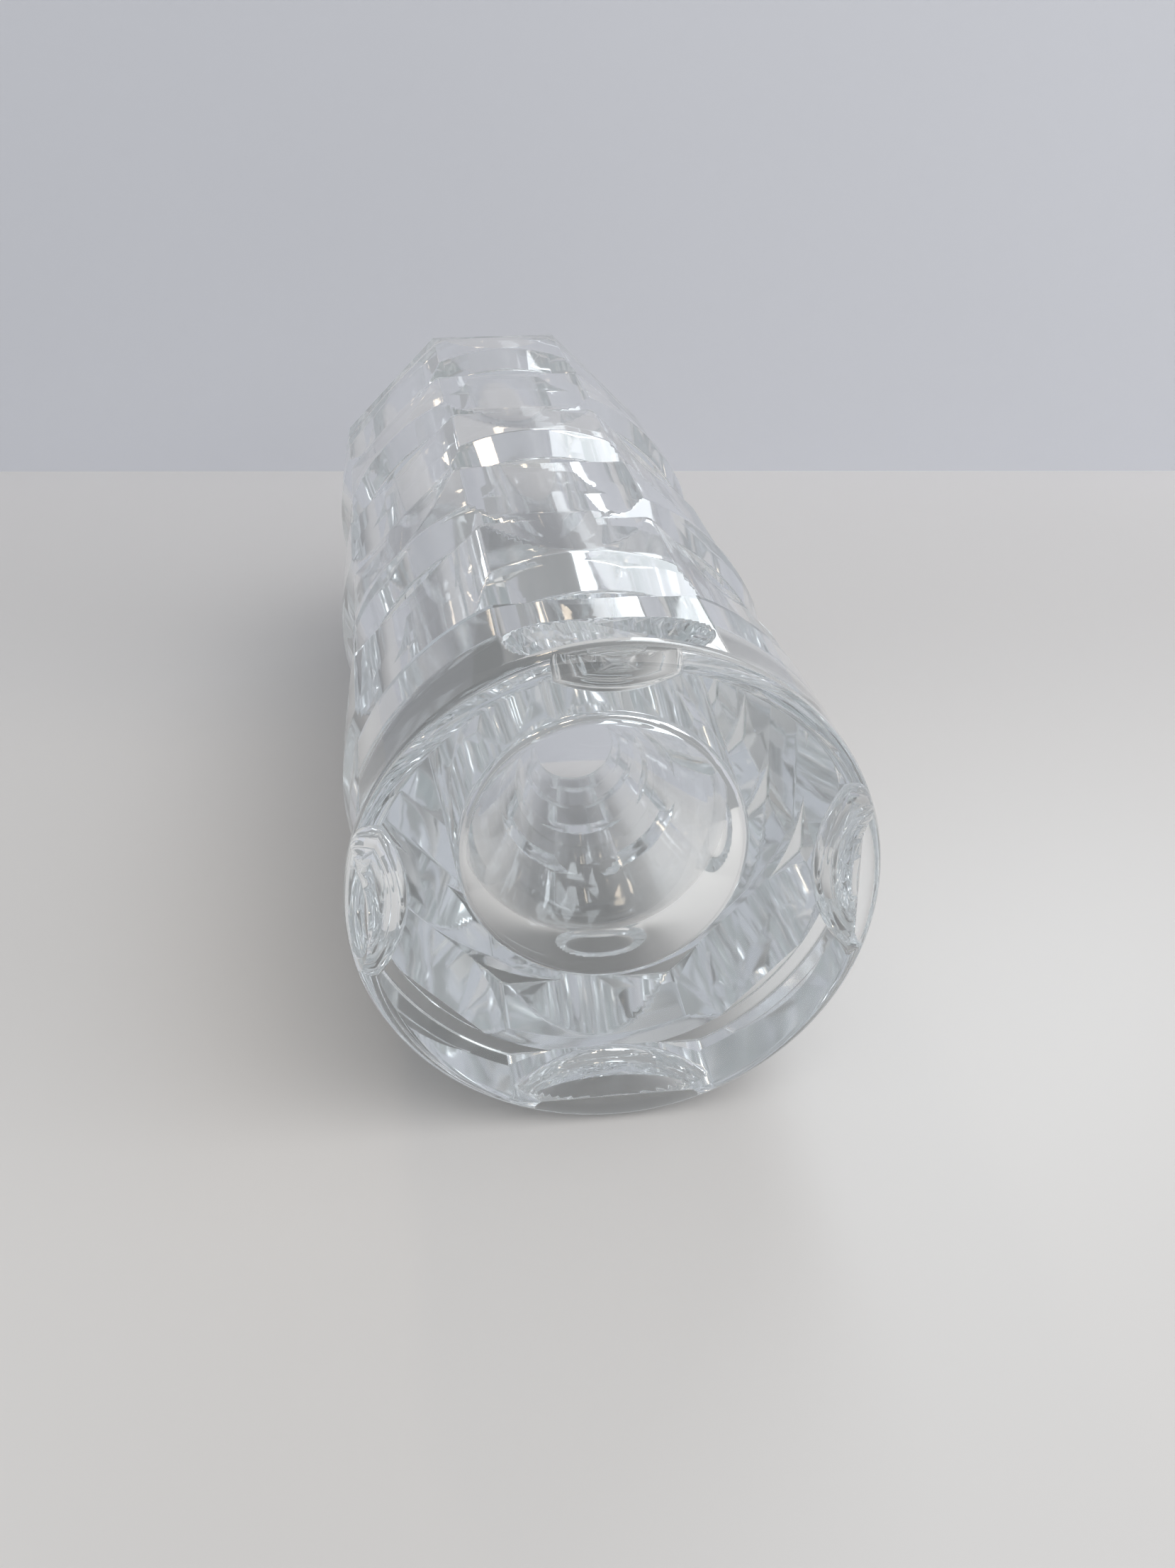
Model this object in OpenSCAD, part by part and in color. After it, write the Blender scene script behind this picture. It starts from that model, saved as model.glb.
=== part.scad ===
// Cut crystal vase: one heavy, straight-sided cylinder of clear glass with a deep round cavity.
// Ring grooves divide the outside into tiers. Flat windows alternate with raised blocks from
// column to column, like bricks, over a plinth band with four windows and thumbprint dishes.
// Frame: origin at the centre of the flat base, +Z up the axis to the rim, one main column of
// cuts on each of +X, +Y, -X and -Y, the offset columns between them. Units are millimetres.

/* [Body] */
// Overall height, base to rim
height = 250; // [245:1:256]
// Outer diameter of the uncut body
body_d = 92; // [90:1:98]
// Rounding of the base's outer edge
base_round = 3.5; // [1:0.5:4]
// Rounding of the rim's two edges
rim_round = 1.2; // [0.5:0.1:2]

/* [Cavity] */
// Inside diameter at the rim
mouth_d = 68; // [64:1:70]
// Inside diameter at the foot of the wall
bore_d = 53; // [48:1:60]
// Thickness of the solid glass under the lowest point of the cavity
floor_t = 20.5; // [18:0.5:26]
// Radius of the floor's bowl
bowl_r = 40; // [34:1:60]
// Radius of the corner between the bowl and the wall
corner_r = 5; // [3:0.5:8]

/* [Ring grooves] */
// Number of ring grooves
groove_count = 5; // [3:1:5]
// Height of the lowest groove's lower edge
groove_start = 32; // [30:0.5:34]
// Height of one groove, from its sharp shelf up to its ridge
groove_h = 15; // [12:0.5:16]
// Depth of a groove at its shelf
groove_depth = 2.5; // [1.5:0.1:3]
// Distance from one groove to the next
tier_pitch = 42.5; // [41:0.5:43]

/* [Columns of cuts] */
// Depth of a flat window at its middle
window_depth = 3.7; // [2.8:0.1:4]
// Slope of the cut that leads up from a block to the next window, in degrees
lead_angle = 6.2; // [5:0.1:8]
// Height of the plain foot band under the lowest windows
foot_h = 5; // [4:0.5:8]

/* [Thumbprint dishes] */
// Radius of the cutting wheel, whose axle is upright
wheel_r = 25; // [23:0.5:27]
// Radius of the wheel's round rim, half the wheel's thickness
wheel_rim = 9; // [8.5:0.1:9.5]
// Distance from the vase's axis to the wheel's axle
wheel_axle = 60.2; // [59:0.1:62]

/* [Hidden] */
$fn = 96;
body_r = body_d / 2;
// Main columns stand at every quarter turn, offset columns between them
quarter = 90;
window_x = body_r - window_depth;
groove_r = body_r - groove_depth;
lead_slope = tan(lead_angle);
// The lead-in cut starts this far above a ridge, so the ridge keeps a narrow land
land = 0.8;
// A window runs this far past the groove's shelf, so its top shows as a thin crescent
overlap = 0.4;
// Clearance of a cutter past the surface that it cuts
past = 3;
// Steps in a quarter circle of an edge rounding
steps = 8;
// Centre of the floor's bowl, centre of the corner's arc, and the angle at which the two meet
bowl_z = floor_t + bowl_r;
corner_x = bore_d / 2 - corner_r;
corner_z = bowl_z - sqrt(pow(bowl_r - corner_r, 2) - pow(corner_x, 2));
meet = asin(corner_x / (bowl_r - corner_r));

function groove_z(i) = groove_start + i * tier_pitch;
function ridge_z(i) = groove_z(i) + groove_h;
// Points of an arc about [cx, cz], from angle a0 to a1 in n steps
function arc(cx, cz, r, a0, a1, n = steps) =
    [for (i = [0 : n]) let (a = a0 + (a1 - a0) * i / n) [cx + r * cos(a), cz + r * sin(a)]];
// Points of the bowl from its lowest point out to the corner's arc
function bowl() =
    [for (i = [0 : steps - 1]) let (a = meet * i / steps) [bowl_r * sin(a), bowl_z - bowl_r * cos(a)]];
// Profile points of one ring groove: in along the shelf, then out along the cone to the ridge
function groove(i) = [[body_r, groove_z(i)], [groove_r, groove_z(i)], [body_r, ridge_z(i)]];
function all_grooves() = [for (i = [0 : groove_count - 1]) each groove(i)];

// The turned blank: rounded base edge, ring grooves and rounded rim
module blank() {
    rotate_extrude()
        polygon(concat(
            [[0, 0]],
            arc(body_r - base_round, base_round, base_round, -90, 0),
            all_grooves(),
            arc(body_r - rim_round, height - rim_round, rim_round, 0, 90),
            [[0, height]]));
}

// The cavity: bowl-shaped floor, rounded corner, wall that widens slightly to the mouth
module cavity() {
    rotate_extrude()
        polygon(concat(
            bowl(),
            arc(corner_x, corner_z, corner_r, meet - 90, 0),
            [[mouth_d / 2, height - rim_round]],
            [[mouth_d / 2 + rim_round, height]],
            [[mouth_d / 2 + rim_round, height + past], [0, height + past]]));
}

// A cutter with the outline given as [distance from the axis, height], across one column
module column_cutter(angle, outline) {
    rotate([0, 0, angle])
        rotate([90, 0, 0])
            translate([0, 0, -body_r])
                linear_extrude(body_d)
                    polygon(outline);
}

// A flat window from z0 to z1
module window(angle, z0, z1) {
    column_cutter(angle, [
        [window_x, z0], [body_r + past, z0],
        [body_r + past, z1], [window_x, z1]]);
}

// A sloping lead-in above the ridge at height z, and the flat window over it up to z1
module led_window(angle, z, z1) {
    start = z + land;
    column_cutter(angle, [
        [body_r + lead_slope * past, start - past],
        [window_x, start + window_depth / lead_slope],
        [window_x, z1], [body_r + past, z1], [body_r + past, start - past]]);
}

// Top of the window whose lead-in starts at ridge i: the shelf two grooves up, or the open rim
function window_top(i) = i + 2 < groove_count ? groove_z(i + 2) + overlap : height + past;

// The four columns on the axes: plinth windows, then every second block
module main_cuts() {
    for (angle = [0 : quarter : 359]) {
        window(angle, foot_h, groove_z(0) + overlap);
        for (i = [0 : 2 : groove_count - 1])
            led_window(angle, ridge_z(i), window_top(i));
    }
}

// The four columns between them: the plinth stays plain, and the blocks sit one tier higher
module offset_cuts() {
    for (angle = [quarter / 2 : quarter : 359]) {
        window(angle, groove_z(0) + overlap, groove_z(1) + overlap);
        for (i = [1 : 2 : groove_count - 1])
            led_window(angle, ridge_z(i), window_top(i));
    }
}

// The cutting wheel: a disc with a round rim, its lower side level with the top of the foot
module wheel() {
    rotate_extrude()
        polygon(concat(
            [[0, 0]],
            arc(wheel_r - wheel_rim, wheel_rim, wheel_rim, -90, 90, 2 * steps),
            [[0, 2 * wheel_rim]]));
}

// A scooped dish in the foot of each plinth window
module dishes() {
    for (angle = [0 : quarter : 359])
        rotate([0, 0, angle])
            translate([wheel_axle, 0, foot_h])
                wheel();
}

module vase_body() {
    color([0.82, 0.87, 0.88])
        difference() {
            blank();
            cavity();
            main_cuts();
            offset_cuts();
            dishes();
        }
}

vase_body();
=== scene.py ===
"""Looks of the cut crystal vase. Blender 4.5, metres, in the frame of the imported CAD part.

The vase lies on its +Y column, so the table is the plane y = +radius and "up" is -Y.
The cutting plan below is in millimetres and repeats the CAD part's. The visible piece is one
closed mesh: a radial surface cut by grooves, flats and dishes, with ground edges rounded over.
"""
import math

import bpy
import numpy as np
from mathutils import Matrix, Vector


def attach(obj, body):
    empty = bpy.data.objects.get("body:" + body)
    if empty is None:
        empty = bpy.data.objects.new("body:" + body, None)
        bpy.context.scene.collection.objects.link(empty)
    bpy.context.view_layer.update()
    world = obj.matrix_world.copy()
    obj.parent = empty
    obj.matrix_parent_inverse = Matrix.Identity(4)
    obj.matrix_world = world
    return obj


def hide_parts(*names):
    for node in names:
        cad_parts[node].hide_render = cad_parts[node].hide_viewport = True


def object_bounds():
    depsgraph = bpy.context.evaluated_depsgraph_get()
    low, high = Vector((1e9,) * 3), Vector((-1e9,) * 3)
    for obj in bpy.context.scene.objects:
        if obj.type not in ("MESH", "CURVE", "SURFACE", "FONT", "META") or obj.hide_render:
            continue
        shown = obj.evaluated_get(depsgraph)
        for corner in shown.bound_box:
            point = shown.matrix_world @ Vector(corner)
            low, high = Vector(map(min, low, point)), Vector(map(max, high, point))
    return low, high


MM = 0.001

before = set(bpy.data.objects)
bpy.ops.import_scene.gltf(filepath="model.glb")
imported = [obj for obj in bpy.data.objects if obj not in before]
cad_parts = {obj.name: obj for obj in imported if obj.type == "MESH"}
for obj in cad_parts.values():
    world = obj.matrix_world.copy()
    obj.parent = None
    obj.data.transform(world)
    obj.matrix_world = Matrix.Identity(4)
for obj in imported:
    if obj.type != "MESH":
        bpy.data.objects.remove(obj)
cad_low, cad_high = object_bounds()

# ---- Sizes in millimetres -------------------------------------------------------------------
BODY_R = (cad_high[0] - cad_low[0]) / 2 / MM
HEIGHT = (cad_high[2] - cad_low[2]) / MM
BASE_ROUND = 3.5
RIM_ROUND = 1.2
FOOT_H = 5.0
# Ring grooves
GROOVES = 5
GROOVE_START = 32.0
GROOVE_H = 15.0
GROOVE_DEPTH = 2.5
TIER = 42.5
# Flats and the sloping lead-ins below them
FLAT_DEPTH = 3.7
FLAT_X = BODY_R - FLAT_DEPTH
LEAD_SLOPE = math.tan(math.radians(6.2))
LEAD_START = GROOVE_H + 0.8
OVERLAP = 0.4
# Thumbprint dishes, scooped by a round-rimmed wheel whose axle is upright
WHEEL_R = 25.0
WHEEL_RIM = 9.0
WHEEL_AXLE = 60.2
WHEEL_Z = FOOT_H + WHEEL_RIM
DISH_TOP = WHEEL_Z + WHEEL_RIM
# Cavity
MOUTH_R = 34.0
BORE_R = 26.5
FLOOR_T = 20.5
BOWL_R = 40.0
CORNER_R = 5.0
# Softness of the ground edges: flat to flat, flat to barrel, and around a dish
FLAT_SOFT = 0.3
BARREL_SOFT = 0.1
DISH_SOFT = 0.25
STEP_ROUND = 0.45
# A radius that no cut reaches, for heights at which a column has no flat
OPEN = 999.0

# ---- Mesh density ---------------------------------------------------------------------------
COLUMNS = 8
PER_COLUMN = 50
# Distance from a step to the row nearest to it
NEAR_STEP = 0.2
# A surface is sampled this far to either side of a step
JUST = 2e-4


def groove_z(i):
    return GROOVE_START + i * TIER


def smooth_min(a, b, soft):
    """The smaller of a and b, with the crease between them rounded over."""
    h = np.clip(0.5 + 0.5 * (b - a) / soft, 0, 1)
    return b + (a - b) * h - soft * h * (1 - h)


def blank_radius(z):
    """The turned blank: barrel with the ring grooves, each a shelf and a cone."""
    radius = np.full_like(z, BODY_R)
    for i in range(GROOVES):
        rise = z - groove_z(i)
        cone = BODY_R - GROOVE_DEPTH + GROOVE_DEPTH * rise / GROOVE_H
        inside = (rise > 0) & (rise < GROOVE_H + 2)
        radius = np.where(inside, smooth_min(radius, cone, BARREL_SOFT), radius)
    return radius


def flat_distance(z, first, plain_from, plain_to):
    """Distance of a column's flat from the axis; the blocks start at ridge first, first + 2..."""
    distance = np.where((z > plain_from) & (z < plain_to), FLAT_X, OPEN)
    for i in range(first, GROOVES, 2):
        start = groove_z(i) + LEAD_START
        top = groove_z(i + 2) + OVERLAP if i + 2 < GROOVES else HEIGHT + 1
        lead = -smooth_min(np.full_like(z, -FLAT_X), LEAD_SLOPE * (z - start) - BODY_R, 0.1)
        distance = np.where((z > start - 1) & (z < top), lead, distance)
    return distance


def cut_radius(turn, z):
    """Radius after all the cuts. turn is in degrees; main columns are at 0, 90, 180 and 270."""
    main = np.radians((turn + 45) % 90 - 45)
    offset = np.radians(turn % 90 - 45)
    main_flat = flat_distance(z, 0, FOOT_H, groove_z(0) + OVERLAP) / np.cos(main)
    offset_flat = flat_distance(z, 1, groove_z(0) + OVERLAP, groove_z(1) + OVERLAP) / np.cos(offset)
    flats = smooth_min(main_flat, offset_flat, FLAT_SOFT)
    radius = smooth_min(flats, blank_radius(z), BARREL_SOFT)
    rim = WHEEL_RIM ** 2 - (z - WHEEL_Z) ** 2
    section = WHEEL_R - WHEEL_RIM + np.sqrt(np.maximum(rim, 0))
    reach = section ** 2 - (WHEEL_AXLE * np.sin(main)) ** 2
    dish = WHEEL_AXLE * np.cos(main) - np.sqrt(np.maximum(reach, 0))
    dish = np.where((rim > 0) & (reach > 0), dish, OPEN)
    return smooth_min(radius, dish, DISH_SOFT)


def step_heights():
    steps = [FOOT_H]
    for i in range(GROOVES):
        steps += [groove_z(i), groove_z(i) + OVERLAP]
    return steps


def outer_radius(turn, z):
    """cut_radius with the steps, the rim and the base edge rounded over."""
    radius = cut_radius(turn, z)
    for step in step_heights():
        near = np.abs(z - step) < STEP_ROUND
        if not near.any():
            continue
        below = cut_radius(turn[near], np.full(near.sum(), step - 1e-4))
        above = cut_radius(turn[near], np.full(near.sum(), step + 1e-4))
        drop = np.where(z[near] < step, below - above, above - below)
        round_r = np.clip(drop / 2, 1e-6, STEP_ROUND)
        left = np.clip(round_r - np.abs(z[near] - step), 0, None)
        radius[near] -= round_r - np.sqrt(round_r ** 2 - left ** 2)
    over = np.clip(z - (HEIGHT - RIM_ROUND), 0, RIM_ROUND)
    radius -= RIM_ROUND - np.sqrt(RIM_ROUND ** 2 - over ** 2)
    under = np.clip(BASE_ROUND - z, 0, BASE_ROUND)
    radius -= BASE_ROUND - np.sqrt(BASE_ROUND ** 2 - under ** 2)
    return radius


def outer_normal(turn, z):
    """Unit normal of the outer surface at arrays of turn and z."""
    d_turn, d_z = 0.002, 0.001
    radius = outer_radius(turn, z)
    slope_turn = outer_radius(turn + d_turn, z) - outer_radius(turn - d_turn, z)
    slope_turn = slope_turn / (2 * math.radians(d_turn)) / radius
    slope_z = (outer_radius(turn, z + d_z) - outer_radius(turn, z - d_z)) / (2 * d_z)
    angle = np.radians(turn)
    normal = np.stack([
        np.cos(angle) + slope_turn * np.sin(angle),
        np.sin(angle) - slope_turn * np.cos(angle),
        -slope_z], axis=-1)
    return normal / np.linalg.norm(normal, axis=-1, keepdims=True)


def column_turns():
    """Angles of the mesh's columns: closer together where neighbouring flats meet."""
    fine = np.linspace(0, 45, 901)
    density = 1 + 0.9 * np.exp(-((fine - 22.5) / 6) ** 2)
    share = np.cumsum(density) - density[0]
    half = np.interp(np.linspace(0, 1, PER_COLUMN, endpoint=False), share / share[-1], fine)
    half_back = 90 - np.append(half[1:], 45)[::-1]
    pair = np.concatenate([half, half_back])
    return np.concatenate([pair + 90 * k for k in range(COLUMNS // 2)])


def row_heights():
    """Heights of the mesh's rows as (z, side): side -1 or +1 is just under or over a step."""
    edge = [BASE_ROUND * (1 - math.cos(math.radians(a))) for a in range(0, 91, 15)]
    rows = [(z, 0) for z in edge]
    rows += [(FOOT_H - STEP_ROUND, 0), (FOOT_H - NEAR_STEP, 0), (FOOT_H, -1), (FOOT_H, 1)]
    # Evenly spaced round the wheel's rim, so close together at the top and bottom of a dish
    rows += [(WHEEL_Z - WHEEL_RIM * math.cos(math.radians(a)), 0) for a in range(8, 173, 7)]
    rows += [(z, 0) for z in np.linspace(DISH_TOP, GROOVE_START - 0.9, 7)]
    tier = [(-STEP_ROUND, 0), (-NEAR_STEP, 0), (0, -1), (0, 1), (OVERLAP, -1), (OVERLAP, 1)]
    tier += [(0.55, 0), (0.85, 0)]
    tier += [(h, 0) for h in (2.4, 4.4, 6.0, 6.9, 7.4, 8.0, 9.6, 12.0, 14.4, 14.8, 15.2, 15.6)]
    tier += [(h, 0) for h in (15.9, 16.3, 17.0, 18.0, 19.3, 20.8)]
    tier += [(h, 0) for h in np.linspace(22.8, 40.0, 8)]
    for i in range(GROOVES):
        rows += [(groove_z(i) + h, side) for h, side in tier if groove_z(i) + h < HEIGHT - 2]
    rows += [(HEIGHT - RIM_ROUND * (1 - math.sin(math.radians(a))), 0) for a in range(0, 91, 18)]
    return rows


def cavity_profile():
    """(radius, z, normal radius, normal z) down the inside, from the rim to the floor's middle."""
    points = []
    for a in range(0, 91, 18):
        c, s = math.cos(math.radians(a)), math.sin(math.radians(a))
        points.append((MOUTH_R + RIM_ROUND * (1 - s), HEIGHT - RIM_ROUND * (1 - c), -s, c))
    # The corner's arc touches both the bowl of the floor and the wall
    bowl_z = FLOOR_T + BOWL_R
    across = BORE_R - CORNER_R
    wall_low = bowl_z - math.sqrt((BOWL_R - CORNER_R) ** 2 - across ** 2)
    meet = math.asin(across / (BOWL_R - CORNER_R))
    wall_high = HEIGHT - RIM_ROUND
    lean = (MOUTH_R - BORE_R) / (wall_high - wall_low)
    for share in np.linspace(0.06, 1, 18):
        z = wall_high + (wall_low - wall_high) * share
        points.append((BORE_R + lean * (z - wall_low), z, -1, lean))
    for a in np.linspace(math.pi / 2, meet, 11)[1:]:
        s, c = math.sin(a), math.cos(a)
        points.append((across + CORNER_R * s, wall_low - CORNER_R * c, -s, c))
    for a in np.linspace(meet, 0, 16)[1:-1]:
        s, c = math.sin(a), math.cos(a)
        points.append((BOWL_R * s, bowl_z - BOWL_R * c, -s, c))
    return points


class Shell:
    """Collects vertices, faces and one normal for each face corner."""

    def __init__(self):
        self.points = []
        self.faces = []
        self.normals = []

    def ring(self, turns, radius, z):
        first = len(self.points)
        angle = np.radians(turns)
        columns = [radius * np.cos(angle), radius * np.sin(angle), np.full_like(angle, z)]
        self.points.extend(np.stack(columns, axis=-1).tolist())
        return first

    def face(self, corners, normals):
        self.faces.append(corners)
        self.normals.append(normals)


def add_outside(shell, turns, rows):
    """The outer surface: one ring for each row, quads between them."""
    count = len(turns)
    starts = []
    for z, side in rows:
        radius = outer_radius(turns, np.full(count, z + side * JUST))
        starts.append(shell.ring(turns, radius, z))
    wrapped = np.append(turns, turns[0] + 360)
    for k in range(len(rows) - 1):
        (z0, _), (z1, _) = rows[k], rows[k + 1]
        corner_turns = np.stack([wrapped[:-1], wrapped[1:], wrapped[1:], wrapped[:-1]])
        if z1 - z0 < 1e-6:
            low = outer_radius(turns, np.full(count, z0 - JUST))
            high = outer_radius(turns, np.full(count, z0 + JUST))
            up = np.where(low > high, 1.0, -1.0)
            zero = np.zeros(count)
            normals = np.stack([np.stack([zero, zero, up], axis=-1)] * 4)
        else:
            # The normals are read a little inside the face, off the creases at its edges
            nudge = 0.03
            middle = (wrapped[:-1] + wrapped[1:]) / 2
            inner_turns = corner_turns + nudge * (middle - corner_turns)
            corner_z = np.array([z0, z0, z1, z1])[:, None] * np.ones(count)
            inner_z = corner_z + nudge * ((z0 + z1) / 2 - corner_z)
            normals = outer_normal(inner_turns.ravel(), inner_z.ravel()).reshape(4, count, 3)
        a, b = starts[k], starts[k + 1]
        for j in range(count):
            n = (j + 1) % count
            shell.face((a + j, a + n, b + n, b + j), normals[:, j])
    return starts[0], starts[-1]


def add_inside(shell, turns, rim_start):
    """The flat of the rim, then the cavity with half as many columns, down to its floor."""
    half = turns[::2]
    count = len(half)
    full = len(turns)
    profile = cavity_profile()
    up = np.array([0.0, 0.0, 1.0])
    angle = np.radians(half)
    previous = shell.ring(half, profile[0][0], profile[0][1])
    for j in range(count):
        n = (j + 1) % count
        o0, o1, o2 = rim_start + 2 * j, rim_start + 2 * j + 1, rim_start + (2 * j + 2) % full
        shell.face((o0, o1, previous + j), [up] * 3)
        shell.face((o1, o2, previous + n), [up] * 3)
        shell.face((o1, previous + n, previous + j), [up] * 3)

    def corner_normal(point, j):
        length = math.hypot(point[2], point[3])
        c, s = math.cos(angle[j]), math.sin(angle[j])
        return np.array([point[2] * c, point[2] * s, point[3]]) / length

    for k in range(1, len(profile)):
        current = shell.ring(half, profile[k][0], profile[k][1])
        above, below = profile[k - 1], profile[k]
        for j in range(count):
            n = (j + 1) % count
            corners = (previous + j, previous + n, current + n, current + j)
            normals = [corner_normal(above, j), corner_normal(above, n)]
            normals += [corner_normal(below, n), corner_normal(below, j)]
            shell.face(corners, normals)
        previous = current
    centre = len(shell.points)
    shell.points.append([0.0, 0.0, FLOOR_T])
    for j in range(count):
        shell.face((previous + j, previous + (j + 1) % count, centre), [up] * 3)


def build_vase():
    """One closed mesh of the whole vase, in metres."""
    shell = Shell()
    turns = column_turns()
    base_start, rim_start = add_outside(shell, turns, row_heights())
    add_inside(shell, turns, rim_start)
    down = np.array([0.0, 0.0, -1.0])
    base = tuple(base_start + j for j in reversed(range(len(turns))))
    shell.face(base, [down] * len(base))
    return finish_mesh(shell, "vase_glass")


def finish_mesh(shell, name):
    """Joins points that coincide, drops faces without area, and sets the corner normals."""
    points = np.array(shell.points)
    _, keep, index = np.unique(np.round(points, 4), axis=0, return_index=True, return_inverse=True)
    index = index.ravel()
    faces, normals = [], []
    for corners, corner_normals in zip(shell.faces, shell.normals):
        new_face, new_normals = [], []
        for corner, normal in zip(corners, corner_normals):
            vertex = int(index[corner])
            if vertex not in new_face:
                new_face.append(vertex)
                new_normals.append(normal)
        if len(new_face) > 2:
            faces.append(new_face)
            normals.extend(new_normals)
    mesh = bpy.data.meshes.new(name)
    mesh.from_pydata((points[keep] * MM).tolist(), [], faces)
    mesh.shade_smooth()
    mesh.normals_split_custom_set(np.array(normals).tolist())
    piece = bpy.data.objects.new(name, mesh)
    bpy.context.collection.objects.link(piece)
    return piece


# ---- Materials ------------------------------------------------------------------------------
def new_material(name):
    material = bpy.data.materials.new(name)
    material.use_nodes = True
    nodes = material.node_tree.nodes
    return material, nodes, material.node_tree.links, nodes["Principled BSDF"]


def crystal_material():
    material, nodes, links, shader = new_material("crystal")
    shader.inputs["Base Color"].default_value = (0.985, 0.995, 1.0, 1)
    shader.inputs["Transmission Weight"].default_value = 1.0
    shader.inputs["IOR"].default_value = 1.545
    place = nodes.new("ShaderNodeTexCoord")
    # Fine rubbing marks in the polish, and the slight haze of handled glass
    rub = nodes.new("ShaderNodeTexNoise")
    rub.inputs["Scale"].default_value = 260
    rub.inputs["Detail"].default_value = 4
    links.new(place.outputs["Object"], rub.inputs["Vector"])
    rough = nodes.new("ShaderNodeMapRange")
    rough.inputs["From Min"].default_value = 0.45
    rough.inputs["From Max"].default_value = 0.8
    rough.inputs["To Min"].default_value = 0.035
    rough.inputs["To Max"].default_value = 0.07
    links.new(rub.outputs["Fac"], rough.inputs["Value"])
    links.new(rough.outputs["Result"], shader.inputs["Roughness"])
    # Slow waves that hand polishing leaves in the flats
    wave = nodes.new("ShaderNodeTexNoise")
    wave.inputs["Scale"].default_value = 55
    wave.inputs["Detail"].default_value = 1
    links.new(place.outputs["Object"], wave.inputs["Vector"])
    bump = nodes.new("ShaderNodeBump")
    bump.inputs["Strength"].default_value = 0.12
    bump.inputs["Distance"].default_value = 0.0004
    links.new(wave.outputs["Fac"], bump.inputs["Height"])
    links.new(bump.outputs["Normal"], shader.inputs["Normal"])
    # Faint cold tint through the thickness of the glass
    absorb = nodes.new("ShaderNodeVolumeAbsorption")
    absorb.inputs["Color"].default_value = (0.80, 0.87, 0.89, 1)
    absorb.inputs["Density"].default_value = 1.8
    links.new(absorb.outputs["Volume"], nodes["Material Output"].inputs["Volume"])
    return material


def stage_material(name, colour, roughness):
    """Matt stage surface that can be seen through from behind."""
    material, nodes, links, shader = new_material(name)
    shader.inputs["Roughness"].default_value = roughness
    place = nodes.new("ShaderNodeTexCoord")
    grain = nodes.new("ShaderNodeTexNoise")
    grain.inputs["Scale"].default_value = 3
    links.new(place.outputs["Object"], grain.inputs["Vector"])
    tone = nodes.new("ShaderNodeMix")
    tone.data_type = "RGBA"
    # Sockets of the node's colour form: 6 and 7 are its two colours, output 2 is the result
    tone.inputs[6].default_value = (*[c * 0.97 for c in colour], 1)
    tone.inputs[7].default_value = (*[min(1, c * 1.03) for c in colour], 1)
    links.new(grain.outputs["Fac"], tone.inputs["Factor"])
    links.new(tone.outputs[2], shader.inputs["Base Color"])
    side = nodes.new("ShaderNodeNewGeometry")
    clear = nodes.new("ShaderNodeBsdfTransparent")
    mix = nodes.new("ShaderNodeMixShader")
    links.new(side.outputs["Backfacing"], mix.inputs["Fac"])
    links.new(shader.outputs["BSDF"], mix.inputs[1])
    links.new(clear.outputs["BSDF"], mix.inputs[2])
    links.new(mix.outputs["Shader"], nodes["Material Output"].inputs["Surface"])
    return material


# ---- Stage, light and camera, in body radii -------------------------------------------------
RADIUS = BODY_R * MM
UP = Vector((0, -1, 0))
CAMERA_PLACE = Vector((-0.808, -3.133, -5.180)) * RADIUS
CAMERA_AIM = Vector((0.0095, -0.0025, 0.9636)) * RADIUS
LENS = 38.25
WALL_AT = Vector((1.0, 1.0, 8.96)) * RADIUS
WALL_NORMAL = Vector((-0.130, 0, -0.991))


def facing(place, direction, up):
    """Matrix of an object at place whose -Z looks along direction."""
    back = -direction.normalized()
    right = up.cross(back).normalized()
    turn = Matrix((right, back.cross(right), back)).transposed().to_4x4()
    return Matrix.Translation(place) @ turn


def stage_plane(name, place, normal, up, width, down, rise, material):
    """A flat sheet, its front along normal, reaching down and rise from place."""
    mesh = bpy.data.meshes.new(name)
    half = width / 2
    corners = [(-half, -down, 0), (half, -down, 0), (half, rise, 0), (-half, rise, 0)]
    mesh.from_pydata(corners, [], [(0, 1, 2, 3)])
    sheet = bpy.data.objects.new(name, mesh)
    bpy.context.collection.objects.link(sheet)
    sheet.matrix_world = facing(place, -normal, up)
    mesh.materials.append(material)
    return sheet


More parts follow.
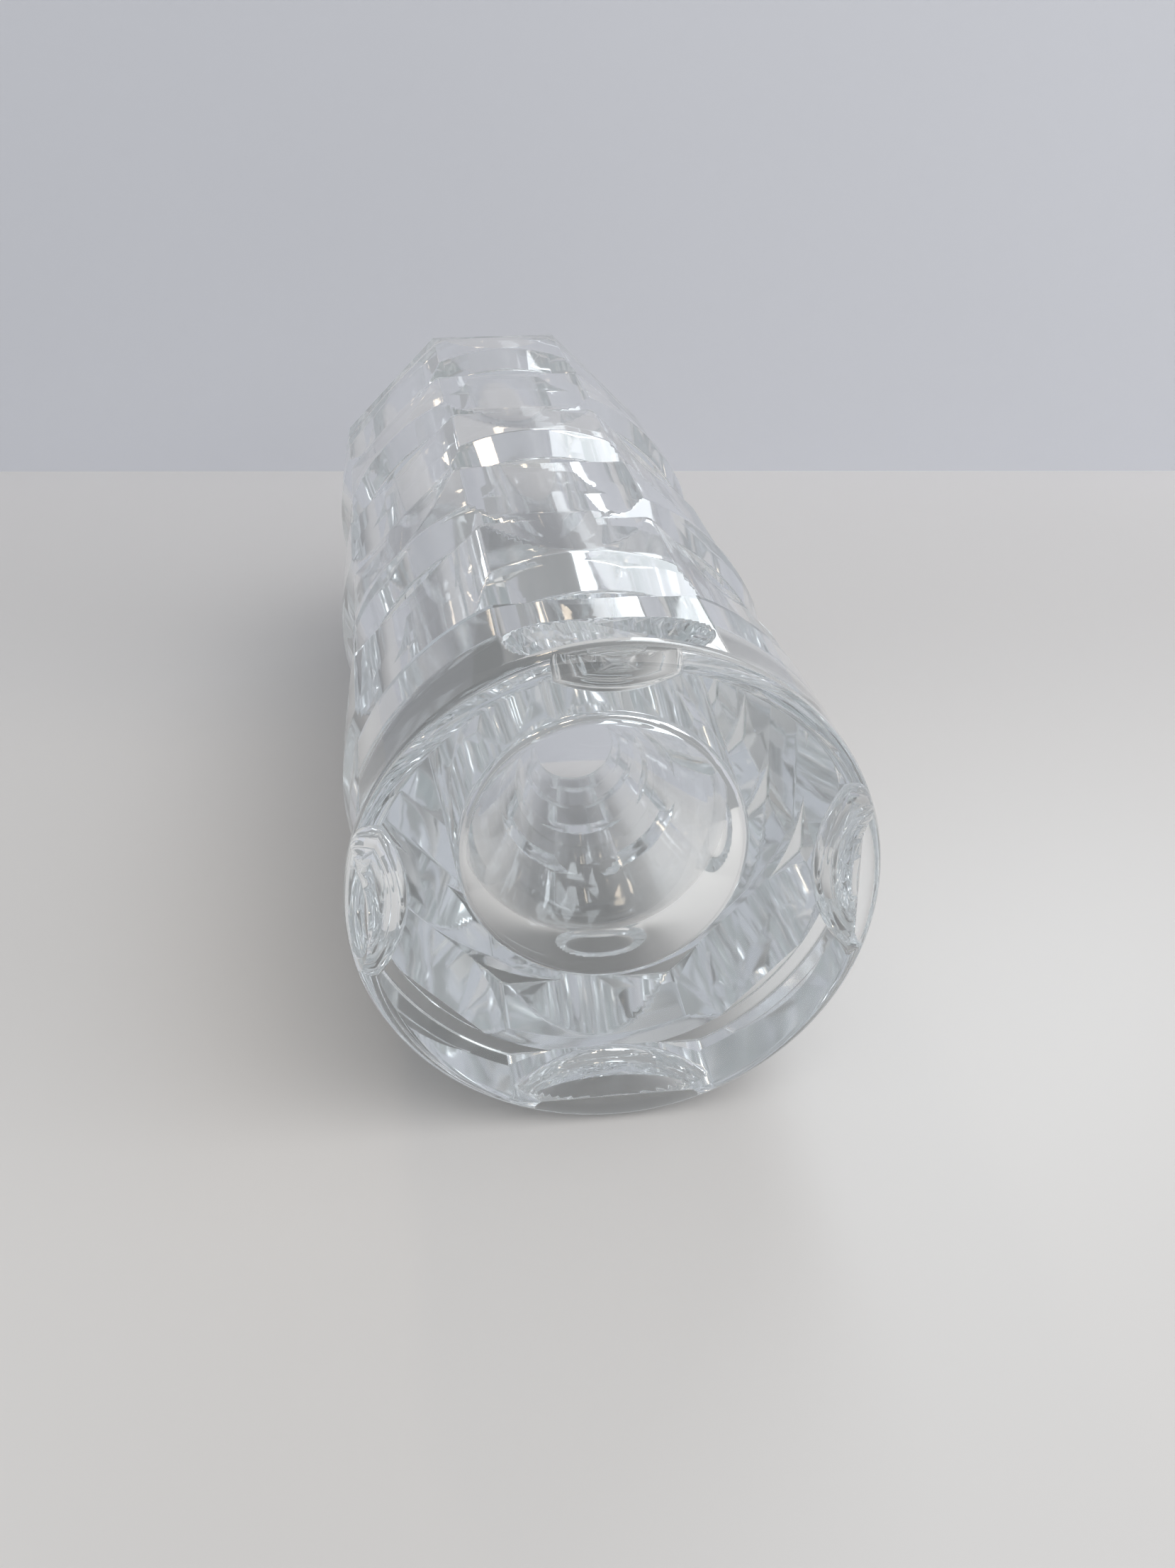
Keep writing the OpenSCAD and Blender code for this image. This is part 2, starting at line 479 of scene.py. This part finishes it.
def area_light(name, place, aim, size, power, colour):
    """A soft rectangular light that the camera itself doesn't see."""
    data = bpy.data.lights.new(name, "AREA")
    data.shape = "RECTANGLE"
    data.size, data.size_y = size
    data.energy = power
    data.color = colour
    lamp = bpy.data.objects.new(name, data)
    bpy.context.collection.objects.link(lamp)
    place = Vector(place)
    lamp.matrix_world = facing(place, Vector(aim) - place, Vector((0.01, -1, 0.02)))
    lamp.visible_camera = False
    return lamp


def set_world(colour, strength):
    world = bpy.data.worlds.new("studio")
    bpy.context.scene.world = world
    world.use_nodes = True
    background = world.node_tree.nodes["Background"]
    background.inputs["Color"].default_value = (*colour, 1)
    background.inputs["Strength"].default_value = strength


def set_camera():
    data = bpy.data.cameras.new("camera")
    data.lens = LENS
    data.clip_start = 0.01
    data.clip_end = 20
    camera = bpy.data.objects.new("camera", data)
    bpy.context.collection.objects.link(camera)
    camera.matrix_world = facing(CAMERA_PLACE, CAMERA_AIM - CAMERA_PLACE, UP)
    bpy.context.scene.camera = camera


def set_render_look():
    scene = bpy.context.scene
    scene.view_settings.view_transform = "Standard"
    scene.cycles.max_bounces = 80
    scene.cycles.transmission_bounces = 80
    scene.cycles.glossy_bounces = 80
    scene.cycles.transparent_max_bounces = 12
    scene.cycles.sample_clamp_indirect = 6


set_camera()
set_render_look()

vase = build_vase()
vase.data.materials.append(crystal_material())
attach(vase, "root")
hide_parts("vase_body")

table_at = Vector((0, RADIUS + 0.0002, 0.1))
table_paint = stage_material("table", (0.80, 0.785, 0.775), 0.35)
wall_paint = stage_material("wall", (0.73, 0.75, 0.81), 0.8)
stage_plane("table", table_at, UP, Vector((0, 0, 1)), 3.0, 1.5, 0.6, table_paint)
stage_plane("wall", WALL_AT, WALL_NORMAL, UP, 3.0, 0.0, 0.2, wall_paint)

set_world((0.96, 0.98, 1.0), 0.37)
area_light("window", (0.45, -0.62, 1.0), (0, 0, 0.1), (0.55, 0.42), 2.2, (0.90, 0.96, 1.0))
# The large soft key stands behind and above the camera
key = area_light("key", (0.75, -1.1, -0.75), (0, 0, 0), (2.2, 1.8), 20, (1.0, 0.985, 0.965))
# It lights the glass but isn't seen through it as a white sheet
key.visible_transmission = False
area_light("lamp", (-0.19, -0.72, 1.1), (0, 0, 0.1), (0.10, 0.10), 0.35, (1.0, 0.82, 0.62))
